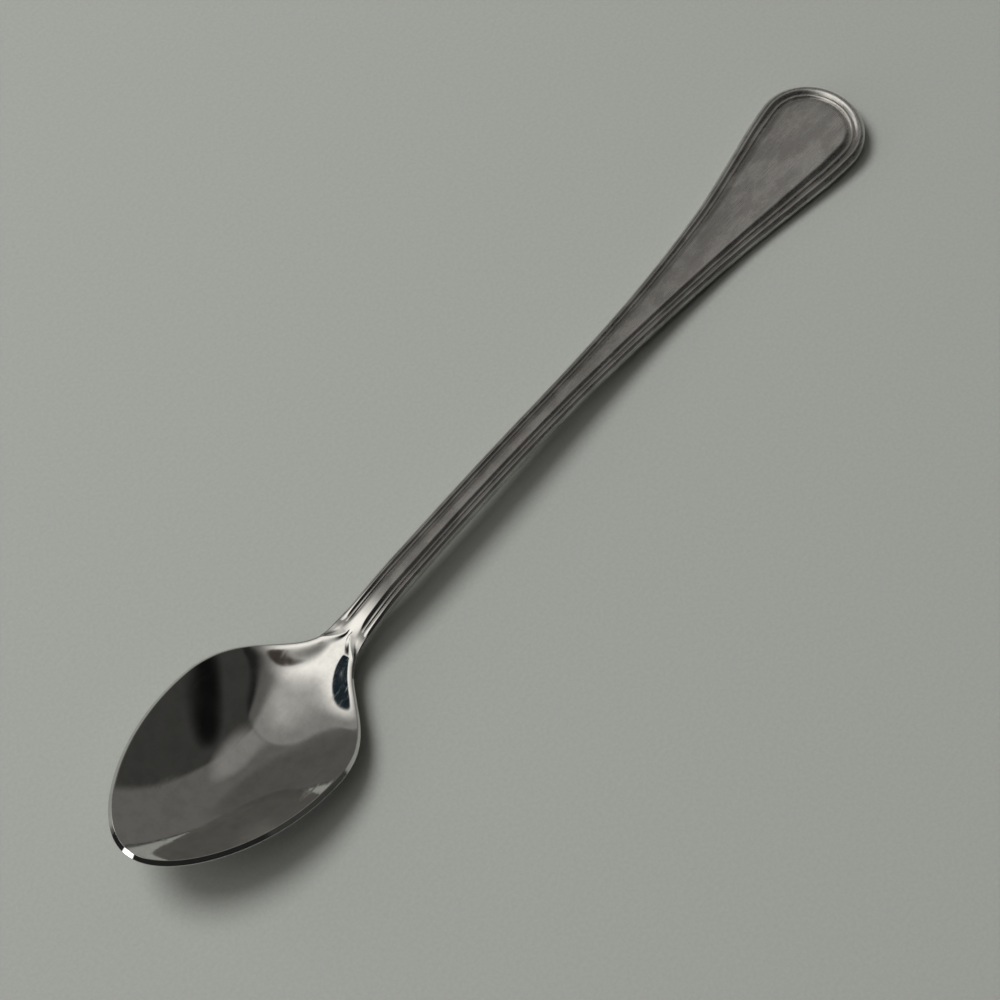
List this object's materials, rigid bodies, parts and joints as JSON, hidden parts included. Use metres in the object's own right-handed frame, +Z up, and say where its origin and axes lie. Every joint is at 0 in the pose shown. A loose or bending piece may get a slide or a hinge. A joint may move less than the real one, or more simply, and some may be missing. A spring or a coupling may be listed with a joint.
{
  "type": "iced tea spoon",
  "caption": "Long slim stainless steel spoon with an egg-shaped bowl, a flared rounded handle end and a raised border line, for stirring and sipping tall drinks.",
  "frame": {"origin": "on the surface that the spoon lies on, below the middle of its bounding box", "axes": "+X along the spoon from the tip of the bowl to the end of the handle, +Y across it to the left, +Z up out of the open side of the bowl"},
  "size_m": [0.19, 0.0314, 0.0137],
  "materials": {
    "polished_steel": "mirror polished stainless steel with fine wear scratches",
    "satin_steel": "satin stainless steel, grain along the handle"
  },
  "bodies": {
    "root": {"bowl": "polished_steel", "neck": "polished_steel", "stem": "satin_steel", "handle_end": "satin_steel", "outer_bead": "polished_steel", "inner_thread": "polished_steel"}
  },
  "joints": []
}
